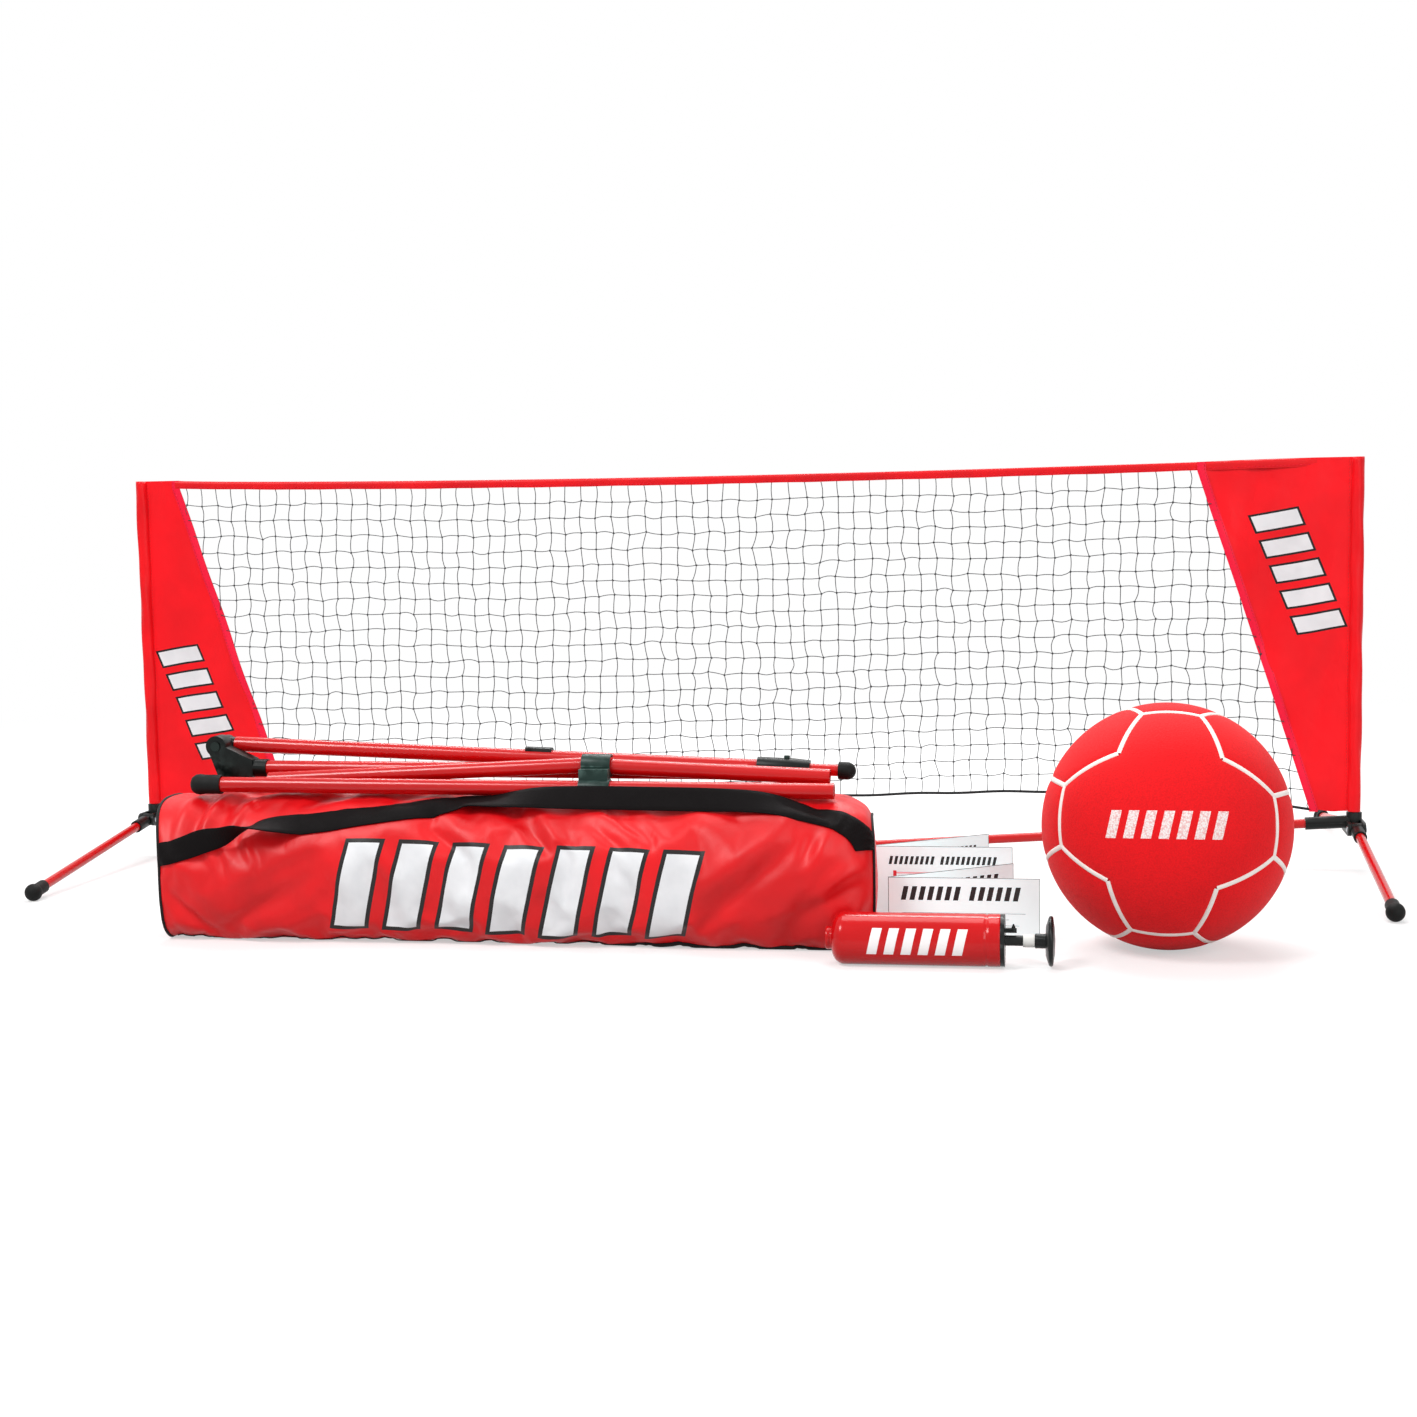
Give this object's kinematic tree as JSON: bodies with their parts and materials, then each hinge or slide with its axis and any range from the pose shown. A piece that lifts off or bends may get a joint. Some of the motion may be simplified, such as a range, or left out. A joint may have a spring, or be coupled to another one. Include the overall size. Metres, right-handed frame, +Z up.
{
  "type": "soccer-tennis net set",
  "caption": "Low free-standing ball net on a folding-leg tube frame, with a duffel carry bag, folding poles, ball, hand pump and folded leaflets.",
  "frame": {"origin": "centre of the whole set's outline at ground level", "axes": "+X along the net to its right end as a player at the ball sees it, +Y away from that player, +Z up"},
  "size_m": [1.5272, 0.952, 0.482],
  "materials": {
    "black_moulding": "fine moulded grain",
    "red_tube": "gloss enamel",
    "steel_pin": "plain drawn steel",
    "red_cloth": "plain-woven polyester",
    "black_tape": "woven polyester webbing",
    "netting_twine": "knotted twine",
    "rubber_foot": "matte moulded rubber",
    "ball_skin": "matte textile with light seams",
    "butyl": "smooth moulded rubber",
    "red_gloss": "gloss moulding",
    "black_gloss": "satin moulding",
    "pump_white": "satin moulding",
    "green_black": "satin moulding",
    "green_grey": "satin moulding",
    "zip_metal": "die-cast and plated",
    "white_card": "smooth coated card"
  },
  "bodies": {
    "frame": {"left_corner_connector": "black_moulding", "right_corner_connector": "black_moulding", "left_upright": "red_tube", "right_upright": "red_tube", "upright_caps": "black_moulding", "left_rail": "red_tube", "right_rail": "red_tube", "rail_coupler": "black_moulding", "leg_hinge_pins": "steel_pin", "left_end_panel": "red_cloth", "right_end_panel": "red_cloth", "pole_sleeves": "red_cloth", "top_tape": "red_cloth", "bottom_tape": "black_tape", "netting_rows": "netting_twine", "netting_columns": "netting_twine"},
    "front_left_leg": {"front_left_leg_lug": "black_moulding", "front_left_leg_tube": "red_tube", "front_left_leg_foot": "rubber_foot"},
    "rear_left_leg": {"rear_left_leg_lug": "black_moulding", "rear_left_leg_tube": "red_tube", "rear_left_leg_foot": "rubber_foot"},
    "front_right_leg": {"front_right_leg_lug": "black_moulding", "front_right_leg_tube": "red_tube", "front_right_leg_foot": "rubber_foot"},
    "rear_right_leg": {"rear_right_leg_lug": "black_moulding", "rear_right_leg_tube": "red_tube", "rear_right_leg_foot": "rubber_foot"},
    "ball": {"ball_cover": "ball_skin", "ball_bladder": "butyl", "ball_valve": "butyl"},
    "pump": {"pump_barrel": "red_gloss", "pump_end_cap": "black_gloss"},
    "plunger": {"pump_rod": "black_gloss", "pump_piston": "pump_white", "pump_seal": "butyl", "pump_rod_band": "pump_white", "pump_handle": "black_gloss"},
    "bag": {"bag_body": "red_cloth", "bag_end_panels": "red_cloth", "bag_piping": "black_tape", "bag_zip": "black_tape", "shoulder_strap": "black_tape"},
    "zip_pull": {"zip_slider": "zip_metal"},
    "pole_bundle": {"folding_knuckle": "green_black", "knuckle_pin": "steel_pin", "bundle_poles": "red_tube", "pole_clip": "green_grey", "pole_foot_cap": "rubber_foot"},
    "telescopic_pole": {"telescopic_outer_tube": "red_tube", "telescopic_hinge_lug": "green_black", "telescopic_clip": "black_moulding", "telescopic_collar": "green_black"},
    "lock_button": {"telescopic_lock_button": "green_grey"},
    "inner_pole": {"telescopic_inner_tube": "red_tube", "telescopic_end_cap": "rubber_foot"},
    "rules_leaflet": {"rules_front_leaf": "white_card"},
    "rules_back_page": {"rules_back_leaf": "white_card"},
    "guide_leaflet": {"guide_front_leaf": "white_card"},
    "guide_back_page": {"guide_back_leaf": "white_card"}
  },
  "joints": [
    {"name": "front_left_leg_fold", "type": "hinge", "parent": "frame", "child": "front_left_leg", "pos_m": [-0.7522, 0.107, 0.048], "axis": [-1, 0, 0], "range_deg": [0, 95]},
    {"name": "rear_left_leg_fold", "type": "hinge", "parent": "frame", "child": "rear_left_leg", "pos_m": [-0.7522, 0.155, 0.048], "axis": [1, 0, 0], "range_deg": [0, 95]},
    {"name": "front_right_leg_fold", "type": "hinge", "parent": "frame", "child": "front_right_leg", "pos_m": [0.7522, 0.107, 0.048], "axis": [-1, 0, 0], "range_deg": [0, 95]},
    {"name": "rear_right_leg_fold", "type": "hinge", "parent": "frame", "child": "rear_right_leg", "pos_m": [0.7522, 0.155, 0.048], "axis": [1, 0, 0], "range_deg": [0, 95]},
    {"name": "ball_lift", "type": "slide", "parent": "frame", "child": "ball", "axis": [0, 0, 1], "range_m": [0, 0.3]},
    {"name": "pump_lift", "type": "slide", "parent": "frame", "child": "pump", "axis": [0, 0, 1], "range_m": [0, 0.3]},
    {"name": "plunger_stroke", "type": "slide", "parent": "pump", "child": "plunger", "axis": [1, 0, 0], "range_m": [-0.016, 0.066]},
    {"name": "bag_lift", "type": "slide", "parent": "frame", "child": "bag", "axis": [0, 0, 1], "range_m": [0, 0.3]},
    {"name": "zip_run", "type": "slide", "parent": "bag", "child": "zip_pull", "axis": [1, 0, 0], "range_m": [0, 0.54]},
    {"name": "bundle_lift", "type": "slide", "parent": "bag", "child": "pole_bundle", "axis": [0, 0, 1], "range_m": [0, 0.3]},
    {"name": "telescopic_pole_unfold", "type": "hinge", "parent": "pole_bundle", "child": "telescopic_pole", "pos_m": [-0.466, -0.313, 0.195], "axis": [0, -1, 0], "range_deg": [0, 90]},
    {"name": "telescopic_extension", "type": "slide", "parent": "telescopic_pole", "child": "inner_pole", "axis": [0.9992, 0, -0.0401], "range_m": [0, 0.15]},
    {"name": "lock_button_press", "type": "slide", "parent": "telescopic_pole", "child": "lock_button", "axis": [-0.0401, 0, -0.9992], "range_m": [0, 0.0012], "stiffness_N_per_m": 400, "springref_m": -0.0002},
    {"name": "rules_lift", "type": "slide", "parent": "frame", "child": "rules_leaflet", "axis": [0, 0, 1], "range_m": [0, 0.3]},
    {"name": "guide_lift", "type": "slide", "parent": "frame", "child": "guide_leaflet", "axis": [0, 0, 1], "range_m": [0, 0.3]},
    {"name": "rules_page_turn", "type": "hinge", "parent": "rules_leaflet", "child": "rules_back_page", "pos_m": [0.243, -0.347, 0], "axis": [0, 0, 1], "range_deg": [-30, 12]},
    {"name": "guide_page_turn", "type": "hinge", "parent": "guide_leaflet", "child": "guide_back_page", "pos_m": [0.213, -0.229, 0], "axis": [0, 0, 1], "range_deg": [-30, 12]}
  ]
}
